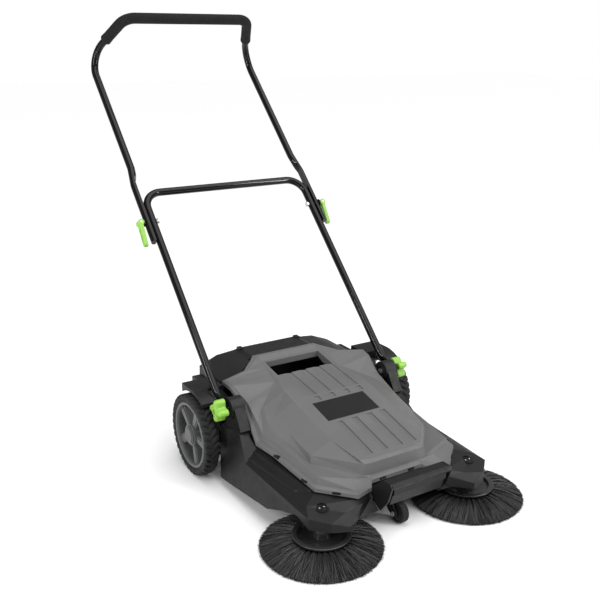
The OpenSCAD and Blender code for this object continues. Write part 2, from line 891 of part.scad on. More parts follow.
// Straight run of a belt, lapped into the arcs at both ends
module belt_run(a, b) {
    v = unit(b - a) * lap;
    rod(a - v, b + v, belt_d);
}

// Part of a round belt about an X axis through c, from angle a in the YZ plane
module belt_arc(c, r, a, turn) {
    translate(c)
        rotate([90, 0, 90])
        rotate([0, 0, a])
        rotate_extrude(angle = turn) translate([r, 0]) circle(d = belt_d + swell);
}

// Open belt between the wheel pulley and the roller pulley
module roller_belt() {
    top = [roller_groove_x, axle_y, axle_z];
    low = [roller_groove_x, roller_y, roller_z];
    d = low - top;
    along = atan2(d[2], d[1]);
    lean = acos((roller_drive_r - roller_driven_r) / norm(d));
    color(rubber) {
        for (a = [along - lean, along + lean])
            belt_run(
                top + roller_drive_r * [0, cos(a), sin(a)],
                low + roller_driven_r * [0, cos(a), sin(a)]
            );
        belt_arc(top, roller_drive_r, along + lean, 360 - 2 * lean);
        belt_arc(low, roller_driven_r, along - lean, 2 * lean);
    }
}

// Quarter-turn belt from the wheel pulley to the upright brush spindle
module brush_belt() {
    top = [brush_groove_x, axle_y, axle_z];
    front = [brush_x, brush_y, brush_belt_z];
    color(rubber) {
        belt_arc(top, brush_drive_r, -90, 180);
        translate(front)
            rotate([0, 0, 180])
            rotate_extrude(angle = 180) translate([brush_driven_r, 0]) circle(d = belt_d + swell);
        belt_run(top + [0, 0, brush_drive_r], front + [brush_driven_r, 0, 0]);
        belt_run(top - [0, 0, brush_drive_r], front - [brush_driven_r, 0, 0]);
    }
}

// ---------- main roller ----------

module roller_shaft() {
    color(steel)
    bar_x(-216, 238, roller_y, roller_z, 10);
}

module roller_pulley() {
    color([0.25, 0.25, 0.26])
    difference() {
        turn_x(roller_y, roller_z)
            polygon(concat(
                [[0, roller_groove_x - 5]],
                groove_points(roller_driven_r, roller_groove_x, roller_driven_r + 3),
                [[0, roller_groove_x + 5]]
            ));
        bar_x(220, 245, roller_y, roller_z, 10);
    }
}

module roller_core() {
    color([0.2, 0.2, 0.22])
    difference() {
        bar_x(-196, 196, roller_y, roller_z, 50);
        bar_x(-200, 200, roller_y, roller_z, 10);
    }
}

module roller_bristles() {
    color(rubber)
    for (i = [0 : roller_strips - 1])
        translate([-190, roller_y, roller_z])
            rotate([i * 360 / roller_strips, 0, 0])
            translate([0, -4, 25.2])
            cube([380, 8, roller_r - 25.6]);
}

module roller_bearings() {
    color(steel)
    for (s = [-1, 1]) on_side(s)
        difference() {
            bar_x(bay_x - 1, bay_x + bay_t + 1, roller_y, roller_z, 24);
            bar_x(200, 220, roller_y, roller_z, 10 + fit);
        }
}

// ---------- side brushes ----------

module brush_disc() {
    color([0.16, 0.16, 0.17])
    translate([brush_x, brush_y, 0])
        rotate_extrude()
        polygon([
            [6.05, 22], [50, 22], [58, 27], [ring_r, 30], [ring_r, ring_z - 1], [ring_r - 2, ring_z],
            [52, ring_z], [48, 28], [30, 26], [18, 28], [15, 44], [6.05, 44]
        ]);
}

module brush_bristles() {
    color(rubber)
    translate([brush_x, brush_y, 0])
        rotate_extrude()
        polygon([
            [50.4, 21.8], [ring_r + 0.5, 29.6], [100, 18], [brush_r, 5], [brush_r - 1, 0],
            [brush_r - 12, 0], [80, 9], [46, 15]
        ]);
}

module brush_spindle() {
    color(steel)
    translate([brush_x, brush_y, 0]) {
        translate([0, 0, 24]) cylinder(d = axle_d, h = 65);
        translate([0, 0, 88.6]) cylinder(d = 15, h = 3.6);
    }
}

module brush_pulley() {
    color([0.25, 0.25, 0.26])
    translate([brush_x, brush_y, brush_belt_z])
        rotate_extrude()
        polygon([
            [6.05, -6], [brush_driven_r + 3, -6], [brush_driven_r + 3, -5], [brush_driven_r - 3, -3],
            [brush_driven_r - 3, 3], [brush_driven_r + 3, 5], [brush_driven_r + 3, 6], [6.05, 6]
        ]);
}

module spindle_bearings() {
    color(steel)
    for (s = [-1, 1]) on_side(s)
        translate([brush_x, brush_y, 80])
            difference() {
                cylinder(d = 22, h = 7.8);
                translate([0, 0, -1]) cylinder(d = axle_d + fit, h = 10);
            }
}

// ---------- castor ----------

castor_axle_y = castor_y - castor_trail;
stem_d = 10;

module castor_socket() {
    color(black)
    difference() {
        union() {
            translate([0, castor_y, 62]) cylinder(d = 24, h = floor_z - 62);
            translate([-22, castor_y - 22, floor_z - 4]) cube([44, 44, 4]);
        }
        translate([0, castor_y, 60]) cylinder(d = stem_d + fit, h = 40);
    }
}

module castor_fork() {
    color(black) {
        translate([0, castor_y, 52]) cylinder(d = stem_d, h = 31.5);
        difference() {
            union() {
                translate([-17, castor_y - 14, 50]) cube([29, 28, 4]);
                plate_x(-17, -13)
                    union() {
                        polygon([
                            [castor_y + 14, 54], [castor_y - 14, 54],
                            [castor_axle_y - 9, castor_r + 4], [castor_axle_y + 4, castor_r - 9],
                            [castor_y + 2, 34]
                        ]);
                        translate([castor_axle_y, castor_r]) circle(r = 10);
                    }
            }
            bar_x(-20, -10, castor_axle_y, castor_r, 6);
        }
    }
}

module castor_axle() {
    color(steel) {
        bar_x(-19.5, 12, castor_axle_y, castor_r, 6);
        bar_x(-20, -17.1, castor_axle_y, castor_r, 10);
    }
}

module castor_hub() {
    color([0.1, 0.1, 0.1])
    difference() {
        bar_x(-11, 11, castor_axle_y, castor_r, 32);
        bar_x(-12, 12, castor_axle_y, castor_r, 6 + fit);
    }
}

module castor_tyre() {
    color(rubber)
    turn_x(castor_axle_y, castor_r)
        polygon([
            [-16, -10], [-castor_r + 3, -10], [-castor_r, -7],
            [-castor_r, 7], [-castor_r + 3, 10], [-16, 10]
        ]);
}

// ---------- one line per node ----------

base_housing();
top_cover();
cover_clips();
name_plate();
front_carry_bar();
hopper_bin();
rear_dust_strip();
on_side(1) pivot_bolt();  // pivot_bolt_left
on_side(-1) pivot_bolt();  // pivot_bolt_right
on_side(1) star_knob(57);  // star_knob_left
on_side(-1) star_knob(2);  // star_knob_right
lower_handle();
upper_handle();
foam_grip();
tube_end_plugs();
on_side(1) clamp_bolt();  // clamp_bolt_left
on_side(-1) clamp_bolt();  // clamp_bolt_right
on_side(1) clamp_saddle();  // clamp_saddle_left
on_side(-1) clamp_saddle();  // clamp_saddle_right
on_side(1) cam_lever();  // cam_lever_left
on_side(-1) cam_lever();  // cam_lever_right
on_side(1) cam_pin();  // cam_pin_left
on_side(-1) cam_pin();  // cam_pin_right
on_side(1) tyre();  // tyre_left
on_side(-1) tyre();  // tyre_right
on_side(1) wheel_rim();  // wheel_rim_left
on_side(-1) wheel_rim();  // wheel_rim_right
on_side(1) hub_cap();  // hub_cap_left
on_side(-1) hub_cap();  // hub_cap_right
on_side(1) wheel_bush();  // wheel_bush_left
on_side(-1) wheel_bush();  // wheel_bush_right
on_side(1) wheel_axle();  // wheel_axle_left
on_side(-1) wheel_axle();  // wheel_axle_right
on_side(1) drive_pulley(with_roller = false);  // drive_pulley_left
on_side(-1) drive_pulley(with_roller = true);  // drive_pulley_right
on_side(1) brush_belt();  // brush_belt_left
on_side(-1) brush_belt();  // brush_belt_right
on_side(-1) roller_belt();
on_side(-1) roller_pulley();
on_side(-1) roller_shaft();
roller_core();
roller_bristles();
roller_bearings();
on_side(1) brush_disc();  // brush_disc_left
on_side(-1) brush_disc();  // brush_disc_right
on_side(1) brush_bristles();  // brush_bristles_left
on_side(-1) brush_bristles();  // brush_bristles_right
on_side(1) brush_spindle();  // brush_spindle_left
on_side(-1) brush_spindle();  // brush_spindle_right
on_side(1) brush_pulley();  // brush_pulley_left
on_side(-1) brush_pulley();  // brush_pulley_right
spindle_bearings();
castor_socket();
castor_fork();
castor_axle();
castor_hub();
castor_tyre();
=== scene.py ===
"""Looks of a walk-behind sweeper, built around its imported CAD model."""
import json
import math
import random

import bpy
from mathutils import Matrix, Vector


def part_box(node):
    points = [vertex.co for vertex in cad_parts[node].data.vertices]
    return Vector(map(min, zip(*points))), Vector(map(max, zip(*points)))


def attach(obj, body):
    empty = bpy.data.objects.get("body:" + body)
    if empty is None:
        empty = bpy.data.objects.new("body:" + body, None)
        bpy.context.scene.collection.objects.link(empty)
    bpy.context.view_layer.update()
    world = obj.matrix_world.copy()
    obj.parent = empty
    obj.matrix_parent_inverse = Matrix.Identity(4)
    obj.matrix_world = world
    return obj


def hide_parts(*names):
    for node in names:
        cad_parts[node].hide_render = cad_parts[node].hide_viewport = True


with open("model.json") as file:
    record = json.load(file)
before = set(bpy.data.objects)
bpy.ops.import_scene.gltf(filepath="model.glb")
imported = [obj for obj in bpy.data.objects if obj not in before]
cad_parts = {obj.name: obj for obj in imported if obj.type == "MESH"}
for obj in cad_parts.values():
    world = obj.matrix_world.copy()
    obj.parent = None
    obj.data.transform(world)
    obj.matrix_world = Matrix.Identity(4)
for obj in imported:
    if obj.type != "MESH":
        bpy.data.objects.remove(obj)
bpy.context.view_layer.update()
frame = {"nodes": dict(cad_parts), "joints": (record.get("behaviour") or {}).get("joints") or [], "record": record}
NODES = frame["nodes"]
MM = 0.001
SIDES = ("left", "right")


# ---------------------------------------------------------------- materials

def material(name):
    """New material, with its node tree and its shader."""
    mat = bpy.data.materials.new(name)
    mat.use_nodes = True
    tree = mat.node_tree
    bsdf = tree.nodes["Principled BSDF"]
    return mat, tree, bsdf


def node(tree, kind, **values):
    """New shader node, with the given inputs or settings."""
    made = tree.nodes.new(kind)
    for key, value in values.items():
        if key in made.inputs:
            made.inputs[key].default_value = value
        else:
            setattr(made, key, value)
    return made


def noise(tree, scale, detail=3.0, rough=0.55):
    """Noise in object space, in metres."""
    coord = node(tree, "ShaderNodeTexCoord")
    tex = node(tree, "ShaderNodeTexNoise", Scale=scale, Detail=detail, Roughness=rough)
    tree.links.new(coord.outputs["Object"], tex.inputs["Vector"])
    return tex.outputs["Fac"]


def ramp(tree, fac, low, high, at=(0.35, 0.65)):
    """Colour ramp between two colours or greys."""
    made = node(tree, "ShaderNodeValToRGB")
    for i, value in enumerate((low, high)):
        stop = made.color_ramp.elements[i]
        stop.position = at[i]
        stop.color = (*value, 1) if isinstance(value, (tuple, list)) else (value, value, value, 1)
    tree.links.new(fac, made.inputs["Fac"])
    return made.outputs["Color"]


def mix(tree, fac, base, color):
    """The base, turning into a plain colour as the factor rises."""
    made = node(tree, "ShaderNodeMix", data_type="RGBA")
    tree.links.new(base, made.inputs["A"])
    made.inputs["B"].default_value = (*color, 1)
    tree.links.new(fac, made.inputs["Factor"])
    return made.outputs["Result"]


def bump(tree, height, strength, distance, before=None):
    """Normal from a height, on top of an earlier normal if one is given."""
    made = node(tree, "ShaderNodeBump", Strength=strength, Distance=distance)
    tree.links.new(height, made.inputs["Height"])
    if before:
        tree.links.new(before, made.inputs["Normal"])
    return made.outputs["Normal"]


def scaled(color, factor):
    """The same colour, lighter or darker."""
    return tuple(min(1.0, c * factor) for c in color)


def moulded(name, color, rough=(0.42, 0.58), grain=1400, grain_depth=0.06 * MM, tone=0.10,
            edge_highlight=1.35, specular=0.5, fleck=1.9):
    """Injection-moulded plastic with a spark-eroded grain, faint flow marks and a painted highlight along its
    edges.
    """
    mat, tree, bsdf = material(name)
    cloud = noise(tree, 14, 4)
    base = ramp(tree, cloud, scaled(color, 1 - tone), scaled(color, 1 + tone), (0.3, 0.7))
    speck = noise(tree, 900, 2)
    base = mix(tree, ramp(tree, speck, 0.0, 0.16, (0.55, 0.75)), base, scaled(color, fleck))
    # Convex edges, found by their pointiness, are painted lighter: a painted highlight along the edges.
    geometry = node(tree, "ShaderNodeNewGeometry")
    painted_edge_highlight = ramp(tree, geometry.outputs["Pointiness"], 0.0, 0.5, (0.515, 0.56))
    base = mix(tree, painted_edge_highlight, base, scaled(color, edge_highlight))
    tree.links.new(base, bsdf.inputs["Base Color"])
    tree.links.new(ramp(tree, noise(tree, 55, 4), rough[0], rough[1], (0.3, 0.7)), bsdf.inputs["Roughness"])
    fine = bump(tree, noise(tree, grain, 2, 0.6), 0.55, grain_depth)
    wavy = bump(tree, noise(tree, 22, 2), 0.25, 0.6 * MM, fine)
    tree.links.new(wavy, bsdf.inputs["Normal"])
    bsdf.inputs["Specular IOR Level"].default_value = specular
    return mat


def coated(name, color):
    """Gloss powder coat on steel tube, with orange peel."""
    mat, tree, bsdf = material(name)
    base = ramp(tree, noise(tree, 30, 3), scaled(color, 0.8), scaled(color, 1.25))
    tree.links.new(base, bsdf.inputs["Base Color"])
    tree.links.new(ramp(tree, noise(tree, 120, 4), 0.07, 0.12), bsdf.inputs["Roughness"])
    peel = bump(tree, noise(tree, 520, 2), 0.25, 0.12 * MM)
    tree.links.new(peel, bsdf.inputs["Normal"])
    bsdf.inputs["Specular IOR Level"].default_value = 0.2
    bsdf.inputs["Coat Weight"].default_value = 0.05
    bsdf.inputs["Coat Roughness"].default_value = 0.05
    return mat


def rubbery(name, color):
    """Matt rubber with fine pores and dusty patches."""
    mat, tree, bsdf = material(name)
    base = ramp(tree, noise(tree, 35, 5), scaled(color, 0.75), scaled(color, 1.35), (0.3, 0.7))
    dusty = ramp(tree, noise(tree, 9, 5, 0.7), 0.0, 0.22, (0.5, 0.75))
    base = mix(tree, dusty, base, scaled(color, 2.2))
    tree.links.new(base, bsdf.inputs["Base Color"])
    tree.links.new(ramp(tree, noise(tree, 80, 4), 0.62, 0.8, (0.3, 0.7)), bsdf.inputs["Roughness"])
    pores = bump(tree, noise(tree, 700, 3), 0.5, 0.2 * MM)
    tree.links.new(pores, bsdf.inputs["Normal"])
    bsdf.inputs["Specular IOR Level"].default_value = 0.35
    return mat


def foam(name, color):
    """Closed-cell foam sleeve: matt, with a fine cellular skin whose pits are painted darker as painted shade."""
    mat, tree, bsdf = material(name)
    coord = node(tree, "ShaderNodeTexCoord")
    cells = node(tree, "ShaderNodeTexVoronoi", Scale=900)
    tree.links.new(coord.outputs["Object"], cells.inputs["Vector"])
    base = ramp(tree, noise(tree, 60, 5), scaled(color, 0.75), scaled(color, 1.4), (0.3, 0.7))
    # The pits of the cells are painted darker: painted shade in the pores.
    base = mix(tree, ramp(tree, cells.outputs["Distance"], 0.5, 0.0, (0.1, 0.5)), base, scaled(color, 0.5))
    tree.links.new(base, bsdf.inputs["Base Color"])
    bsdf.inputs["Roughness"].default_value = 0.85
    soft = bump(tree, noise(tree, 45, 3), 0.4, 0.6 * MM)
    tree.links.new(bump(tree, cells.outputs["Distance"], 0.6, 0.25 * MM, soft), bsdf.inputs["Normal"])
    bsdf.inputs["Specular IOR Level"].default_value = 0.25
    return mat


def metal(name, color):
    """Plated steel with an uneven polish."""
    mat, tree, bsdf = material(name)
    bsdf.inputs["Metallic"].default_value = 1.0
    base = ramp(tree, noise(tree, 160, 4), scaled(color, 0.8), scaled(color, 1.1))
    tree.links.new(base, bsdf.inputs["Base Color"])
    tree.links.new(ramp(tree, noise(tree, 400, 3), 0.25, 0.42), bsdf.inputs["Roughness"])
    tree.links.new(bump(tree, noise(tree, 600, 3), 0.3, 0.08 * MM), bsdf.inputs["Normal"])
    return mat


def filament(name, color):
    """Nylon bristle: dark, a little shiny, each one its own tone, with painted shade towards its root."""
    mat, tree, bsdf = material(name)
    # The tone attribute holds each filament's random tone plus painted shade that darkens it towards its root.
    tone = node(tree, "ShaderNodeAttribute", attribute_name="tone")
    base = ramp(tree, tone.outputs["Fac"], scaled(color, 0.45), scaled(color, 3.6), (0.0, 1.0))
    tree.links.new(base, bsdf.inputs["Base Color"])
    tree.links.new(ramp(tree, noise(tree, 300, 2), 0.38, 0.58), bsdf.inputs["Roughness"])
    tree.links.new(bump(tree, noise(tree, 900, 2), 0.3, 0.1 * MM), bsdf.inputs["Normal"])
    bsdf.inputs["Specular IOR Level"].default_value = 0.5
    return mat


M = {
    "housing": moulded("housing_black", (0.0055, 0.0056, 0.0058), (0.40, 0.54), specular=0.26),
    "cover": moulded("cover_grey", (0.098, 0.098, 0.0975), (0.44, 0.58), tone=0.04, edge_highlight=1.2, specular=0.35),
    "plate": moulded("plate_black", (0.006, 0.006, 0.0062), (0.34, 0.42), grain=2400, grain_depth=0.02 * MM,
                     tone=0.03, specular=0.25, fleck=1.0),
    "tube": coated("tube_gloss_black", (0.003, 0.003, 0.0032)),
    "foam": foam("grip_foam", (0.007, 0.007, 0.0072)),
    "green": moulded("knob_green", (0.20, 0.42, 0.045), (0.34, 0.46), grain=1800, tone=0.05, edge_highlight=1.25),
    "steel": metal("zinc_steel", (0.62, 0.62, 0.63)),
    "tyre": rubbery("tyre_rubber", (0.0045, 0.0045, 0.0047)),
    "hub": moulded("hub_grey", (0.085, 0.086, 0.088), (0.42, 0.56), tone=0.06, specular=0.35),
    "bush": moulded("bush_acetal", (0.62, 0.60, 0.52), (0.35, 0.45)),
    "inner": moulded("inner_dark", (0.009, 0.009, 0.0095), (0.35, 0.5), specular=0.35),
    "ring": moulded("ring_black", (0.020, 0.020, 0.0205), (0.22, 0.34), grain=2200, grain_depth=0.03 * MM),
    "belt": rubbery("belt_rubber", (0.007, 0.007, 0.007)),
    "bristle": filament("bristle_nylon", (0.0075, 0.0075, 0.008)),
}
SLOT_LOOK = {
    "housing_plastic": "housing", "cover_plastic": "cover", "plate_plastic": "plate",
    "handle_paint": "tube", "grip_foam": "foam", "green_plastic": "green",
    "bright_steel": "steel", "tyre_rubber": "tyre", "hub_plastic": "hub",
    "bush_plastic": "bush", "inner_plastic": "inner", "belt_rubber": "belt",
    "bristle_nylon": "bristle",
}
# Width in millimetres of the rounded edges, and the smallest angle in degrees that is rounded
PLAIN_BEVEL = (0.5, 30)
BEVEL = {
    "base_housing": (1.6, 12), "top_cover": (0.9, 6), "hopper_bin": (3.0, 20),
    "front_carry_bar": (2.2, 20),
    "cam_lever_left": (1.4, 25), "cam_lever_right": (1.4, 25),
    "wheel_rim_left": (1.2, 28), "wheel_rim_right": (1.2, 28),
}
# Nodes that don't look like the rest of their material slot
OWN_LOOK = {"brush_disc_left": "ring", "brush_disc_right": "ring"}


def dress(name, obj, slot):
    """Material, welded seams and rounded edges on a CAD node that is kept."""
    obj.data.materials.clear()
    obj.data.materials.append(M[OWN_LOOK.get(name, SLOT_LOOK[slot])])
    weld = obj.modifiers.new("weld", "WELD")
    weld.merge_threshold = 0.01 * MM
    width, angle = BEVEL.get(name, PLAIN_BEVEL)
    bevel = obj.modifiers.new("round", "BEVEL")
    bevel.width = width * MM
    bevel.segments = 3
    bevel.limit_method = "ANGLE"
    bevel.angle_limit = math.radians(angle)
    bevel.miter_outer = "MITER_ARC"
    shading = obj.modifiers.new("shading", "WEIGHTED_NORMAL")
    shading.weight = 90


SLOTS = {s["node"]: s["material_slot"] for s in frame["record"]["subparts"]}
for name, obj in NODES.items():
    dress(name, obj, SLOTS[name])


# ---------------------------------------------------------------- mesh tools

def piece(name, verts, faces, look, body, replaces=(), sharp=30, tones_and_root_shade=None):
    """Mesh object with its look, riding on a body and standing for the CAD nodes it replaces."""
    mesh = bpy.data.meshes.new(name)
    mesh.from_pydata(verts, [], faces)
    mesh.validate()
    mesh.update()
    mesh.shade_smooth()
    mesh.set_sharp_from_angle(angle=math.radians(sharp))
    if tones_and_root_shade is not None:
        layer = mesh.attributes.new("tone", "FLOAT", "POINT")
        layer.data.foreach_set("value", tones_and_root_shade)
    obj = bpy.data.objects.new(name, mesh)
    bpy.context.scene.collection.objects.link(obj)
    mesh.materials.append(M[look])
    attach(obj, body)
    if replaces:
        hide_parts(*replaces)


def skin_rings(rings, count):
    """Faces between rings of points that lie one after another in the list of points."""
    faces = []
    for i in range(rings - 1):
        for k in range(count):
            a = i * count + k
            b = i * count + (k + 1) % count
            faces.append((a, b, b + count, a + count))
    faces.append(tuple(reversed(range(count))))
    faces.append(tuple((rings - 1) * count + k for k in range(count)))
    return faces


def middle(low, high):
    """Halfway between two values."""
    return (low + high) / 2


OFF_AXIS = Vector((0.31, 0.17, 0.94))     # a direction no filament runs along


def filament_mesh(paths, radius, rng):
    """A three-sided tapering filament along each path, each with its own shade, and painted shade towards its
    root.
    """
    verts, faces, tones_and_root_shade = [], [], []
    for path in paths:
        steps = len(path) - 1
        first = len(verts)
        shade = rng.random()
        turn = rng.random() * 2
        for i, p in enumerate(path):
            ahead = path[min(i + 1, steps)] - path[max(i - 1, 0)]
            ahead.normalize()
            side = ahead.cross(OFF_AXIS).normalized()
            up = side.cross(ahead)
            r = radius * (1 - 0.25 * i / steps)
            for k in range(3):
                a = turn + k * math.tau / 3
                verts.append(p + side * (r * math.cos(a)) + up * (r * math.sin(a)))
                # Random tone per filament, plus painted shade: darker at the root, where the filaments crowd
                # together.
                tones_and_root_shade.append(shade * 0.8 + 0.2 * i / steps)
        for i in range(steps):
            for k in range(3):
                a = first + i * 3 + k
                b = first + i * 3 + (k + 1) % 3
                faces.append((a, b, b + 3, a + 3))
        last = first + steps * 3
        faces.append((first + 2, first + 1, first))
        faces.append((last, last + 1, last + 2))
    return verts, faces, tones_and_root_shade


# ---------------------------------------------------------------- tubes

def filleted(points, radii):
    """Centre line through the corner points, with an arc of the given radius at each inner one."""
    step = 4 * MM
    line = [points[0]]
    for i in range(1, len(points) - 1):
        before = (points[i] - points[i - 1]).normalized()
        after = (points[i + 1] - points[i]).normalized()
        turn = before.angle(after)
        radius = radii[i - 1]
        cut = radius * math.tan(turn / 2)
        centre = points[i] + (after - before).normalized() * (radius / math.cos(turn / 2))
        start = points[i] - before * cut - centre
        steps = max(6, int(radius * turn / step))
        axis = before.cross(after)
        for k in range(steps + 1):
            line.append(centre + Matrix.Rotation(turn * k / steps, 3, axis) @ start)
    line.append(points[-1])
    return line


def dense(line, step):
    """The same line with points about a step apart."""
    out = [line[0]]
    for a, b in zip(line, line[1:]):
        n = max(1, round((b - a).length / step))
        out += [a.lerp(b, k / n) for k in range(1, n + 1)]
    return out


def sweep(line, section, up, sides=32):
    """Skin over a centre line. section(distance, total) gives the half width and half height."""
    total = sum((b - a).length for a, b in zip(line, line[1:]))
    verts = []
    along = 0.0
    previous = None
    for i, p in enumerate(line):
        ahead = (line[min(i + 1, len(line) - 1)] - line[max(i - 1, 0)]).normalized()
        if previous is not None:
            up = previous.rotation_difference(ahead) @ up
            along += (p - line[i - 1]).length
        up = (up - ahead * up.dot(ahead)).normalized()
        previous = ahead
        side = ahead.cross(up)
        half_w, half_h = section(along, total)
        for k in range(sides):
            a = k * math.tau / sides
            verts.append(p + side * (half_w * math.cos(a)) + up * (half_h * math.sin(a)))
    return verts, skin_rings(len(line), sides)


def mirrored(path):
    """A path on the left side, carried on by its mirror image."""
    return path + [Vector((-p.x, p.y, p.z)) for p in reversed(path)]


def smooth(t):
    """Eases from 0 to 1, and stays there on either side."""
    t = min(1.0, max(0.0, t))
    return t * t * (3 - 2 * t)


JOINTS = {j["name"]: j for j in frame["joints"]}
PIVOT = Vector(JOINTS["lower_handle_fold"]["pos_m"])
CLAMP = Vector(JOINTS["upper_handle_fold"]["pos_m"])
TUBE_R = 10 * MM
ALONG_LEG = Vector((0, -1, 1)).normalized()


def leg_point(x, y, line_z):
    """Point of a handle leg: the legs rise by as much as they run back."""
    return Vector((x, y, line_z + y))


def lower_tube():
    """U-shaped tube whose ends are pressed flat round the hinge bolts."""
    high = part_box("lower_handle")[1]
    bar_y, bar_z = high.y - TUBE_R, high.z - TUBE_R
    leg_x = high.x - TUBE_R
    foot = Vector((leg_x, PIVOT.y - 9 * MM, PIVOT.z - 4 * MM))
    bend = leg_point(leg_x, PIVOT.y + 40 * MM, bar_z - bar_y)
    corner = Vector((leg_x, bar_y, bar_z))
    foot_r, corner_r = 60 * MM, 48 * MM
    path = filleted(mirrored([foot, bend, corner]), [foot_r, corner_r, corner_r, foot_r])
    path = dense(path, 9 * MM)
    flat, grown = 30 * MM, 78 * MM
    half_blade, blade_r, tip_len = 3 * MM, 12.5 * MM, 12 * MM

    def section(along, total):
        near = min(along, total - along)
        t = smooth((near - flat) / (grown - flat))
        tip = math.sqrt(max(0.0, 1 - ((tip_len - near) / tip_len) ** 2)) if near < tip_len else 1.0
        half_w = half_blade + (TUBE_R - half_blade) * t
        half_h = max(0.6 * MM, (blade_r + (TUBE_R - blade_r) * t) * tip)
        return half_w, half_h

    verts, faces = sweep(path, section, ALONG_LEG)
    piece("lower_tube", verts, faces, "tube", "lower_handle", ("lower_handle",), 50)


LEG_FOOT_X = 255 * MM      # lower end of the upper handle, outside the lower tube
LEG_TOP_X = 246.8 * MM     # above the kink
FOOT_Y = 196 * MM
KINK_START_Y = 322 * MM
KINK_END_Y = 362 * MM
BEND_Y, BEND_Z = 644 * MM, 961 * MM                     # where the legs turn towards the grip
BAR_X, BAR_Y, BAR_Z = 186 * MM, 506 * MM, 1066 * MM     # left end of the grip bar
FLAT_X = 251.7 * MM        # inner face of the flattened end
FLAT_END_Y = 328 * MM
FLAT_FADE = 24 * MM


def upper_line():
    """Corners of the left half of the upper handle, from its foot to the end of the grip bar."""
    line_z = CLAMP.z - CLAMP.y
    foot = leg_point(LEG_FOOT_X, FOOT_Y, line_z)
    kink_start = leg_point(LEG_FOOT_X, KINK_START_Y, line_z)
    kink_end = leg_point(LEG_TOP_X, KINK_END_Y, line_z)
    bend = Vector((LEG_TOP_X, BEND_Y, BEND_Z))
    corner = Vector((BAR_X, BAR_Y, BAR_Z))
    return [foot, kink_start, kink_end, bend, corner]


def upper_tube():
    """Upper bow: its lower ends are squashed on the inner side where they lie on the lower tube."""
    half_radii = [60 * MM, 60 * MM, 60 * MM, 40 * MM]
    path = dense(filleted(mirrored(upper_line()), half_radii + half_radii[::-1]), 9 * MM)
    verts, faces = sweep(path, lambda along, total: (TUBE_R, TUBE_R), ALONG_LEG)
    for v in verts:
        wall = FLAT_X - smooth((v.y - FLAT_END_Y) / FLAT_FADE) * 2 * TUBE_R
        if v.y < FLAT_END_Y + FLAT_FADE and abs(v.x) < wall:
            v.x = math.copysign(wall, v.x)
    piece("upper_tube", verts, faces, "tube", "upper_handle",
          ("upper_handle", "tube_end_plugs"), 50)


def grip():
    """Foam sleeve with a slightly flared cuff at each end."""
    bend, corner = upper_line()[-2:]
    round_corner = 100 * MM
    end = corner + (bend - corner).normalized() * round_corner
    path = dense(filleted(mirrored([end, corner]), [40 * MM, 40 * MM]), 7 * MM)
    close = (0, 0.06, 0.2, 0.4, 0.7)
    head = [path[0].lerp(path[1], t) for t in close]
    tail = [path[-1].lerp(path[-2], t) for t in reversed(close)]
    path = head + path[1:-1] + tail
    # distance from the end and radius, in millimetres
    profile = [(0, 10.3), (0.5, 13.2), (1.5, 15.0), (4, 15.4), (9, 15.1), (17, 14.5), (1000, 14.5)]

    def section(along, total):
        near = min(along, total - along) / MM
        for (a, ra), (b, rb) in zip(profile, profile[1:]):
            if near <= b:
                r = ra + (rb - ra) * (near - a) / (b - a)
                return r * MM, r * MM

    verts, faces = sweep(path, section, ALONG_LEG, 40)
    piece("grip_sleeve", verts, faces, "foam", "upper_handle", ("foam_grip",), 50)


lower_tube()
upper_tube()
grip()


# ---------------------------------------------------------------- star knobs

LOBES = 4
LOBE_R = 8.4      # millimetres, as is all of the outline
LOBE_REACH = 18.6
HUB_R = 13
BLEND = 3


def star_distance(x, y, turn):
    """Distance from the outline of a hub with rounded lobes, negative inside."""
    best = math.hypot(x, y) - HUB_R
    for k in range(LOBES):
        a = math.radians(turn + 360 / LOBES * k)
        along = min(max(x * math.cos(a) + y * math.sin(a), 0), LOBE_REACH)
        d = math.hypot(x - along * math.cos(a), y - along * math.sin(a)) - LOBE_R
        h = max(0.0, BLEND - abs(best - d)) / BLEND
        best = min(best, d) - h * h * BLEND / 4
    return best


def star_outline(count, inset, turn):
    """Radius at each angle of the star's outline, moved inwards by inset."""
    radii = []
    for k in range(count):
        a = k * math.tau / count
        inside, outside = 3.0, 32.0
        for _ in range(22):     # halving, to well under a micrometre
            r = middle(inside, outside)
            if star_distance(r * math.cos(a), r * math.sin(a), turn) + inset < 0:
                inside = r
            else:
                outside = r
        radii.append(inside)
    return radii


def star_knob(side, turn):
    """Star knob with domed lobes and a round recess, on the end of the hinge bolt."""
    low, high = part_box("star_knob_" + side)
    inner, outer = (low.x, high.x) if side == "left" else (high.x, low.x)
    count = 96
    # part of the length, and how far the star is drawn in or the radius of the hub and its recess
    star = [(0.08, 2.2), (0.1, 0.9), (0.16, 0.1), (0.3, 0), (0.7, 0.2), (0.8, 0.7), (0.87, 1.8),
            (0.92, 3.6), (0.955, 5.6)]
    recess = [(0.985, 8.4), (0.99, 7.0), (0.985, 6.0), (0.93, 5.4), (0.75, 5.2)]
    rings = [(t, star_outline(count, inset, turn)) for t, inset in star]
    rings += [(t, [r] * count) for t, r in recess]
    centre = Vector((0, PIVOT.y, PIVOT.z))
    verts = []
    for t, radii in rings:
        x = inner + (outer - inner) * t
        for k, r in enumerate(radii):
            a = k * math.tau / count
            verts.append(centre + Vector((x, r * MM * math.cos(a), r * MM * math.sin(a))))
    faces = skin_rings(len(rings), count)
    if side == "right":
        faces = [tuple(reversed(f)) for f in faces]
    node_name = "star_knob_" + side
    piece("knob_" + side, verts, faces, "green", node_name, (node_name,), 55)


star_knob("left", 147)
star_knob("right", 2)


# ---------------------------------------------------------------- tyres

